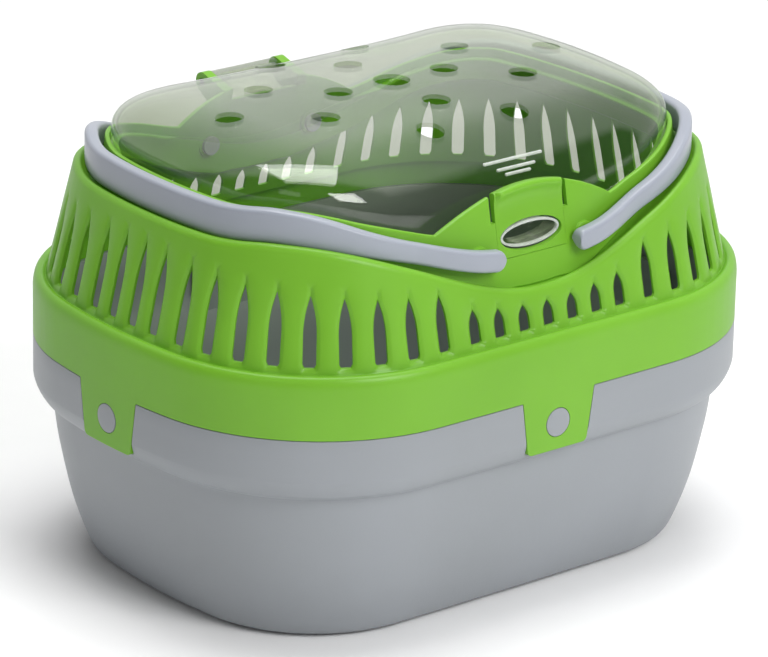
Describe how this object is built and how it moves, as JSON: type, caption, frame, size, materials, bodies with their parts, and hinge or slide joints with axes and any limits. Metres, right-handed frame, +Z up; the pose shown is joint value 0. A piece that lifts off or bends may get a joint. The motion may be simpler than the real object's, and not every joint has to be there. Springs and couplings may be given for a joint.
{
  "type": "plastic pet keeper",
  "caption": "Oblong plastic small-pet carrier: solid tub, slatted upper shell, clear domed hinged lid with air holes, sprung front latch and a pair of folding bail handles.",
  "frame": {"origin": "centre of the object's outline at the plane it stands on, in mm in the source and metres here", "axes": "+X to the object's right along its length, +Y to the back where the lid's hinge is, +Z up; the latch faces -Y"},
  "size_m": [0.3008, 0.2302, 0.207],
  "materials": {
    "shell_plastic": "satin lime green",
    "tub_plastic": "satin grey",
    "handle_plastic": "satin blue grey",
    "clear_plastic": "clear polished"
  },
  "bodies": {
    "base": {"tub": "tub_plastic", "upper_shell": "shell_plastic", "stud_front": "tub_plastic", "stud_back": "tub_plastic", "stud_left": "tub_plastic", "stud_right": "tub_plastic", "handle_pin_front_left": "handle_plastic", "handle_pin_front_right": "handle_plastic", "handle_pin_back_left": "handle_plastic", "handle_pin_back_right": "handle_plastic", "hinge_pin_left": "tub_plastic", "hinge_pin_right": "tub_plastic"},
    "latch": {"latch_tongue": "shell_plastic"},
    "lid": {"lid": "clear_plastic"},
    "left_bail": {"handle_left": "handle_plastic"},
    "right_bail": {"handle_right": "handle_plastic"}
  },
  "joints": [
    {"name": "lid_hinge", "type": "hinge", "parent": "base", "child": "lid", "pos_m": [0, 0.10452, 0.183], "axis": [-1, 0, 0], "range_deg": [0, 118]},
    {"name": "latch_flex", "type": "hinge", "parent": "base", "child": "latch", "pos_m": [0, -0.094, 0.15722], "axis": [1, 0, 0], "range_deg": [0, 12], "stiffness_Nm_per_rad": 0.6},
    {"name": "left_bail_swing", "type": "hinge", "parent": "base", "child": "left_bail", "pos_m": [-0.0285, 0, 0.1586], "axis": [0, 1, 0], "range_deg": [0, 75]},
    {"name": "right_bail_swing", "type": "hinge", "parent": "base", "child": "right_bail", "pos_m": [0.0285, 0, 0.1586], "axis": [0, -1, 0], "range_deg": [0, 75]}
  ]
}
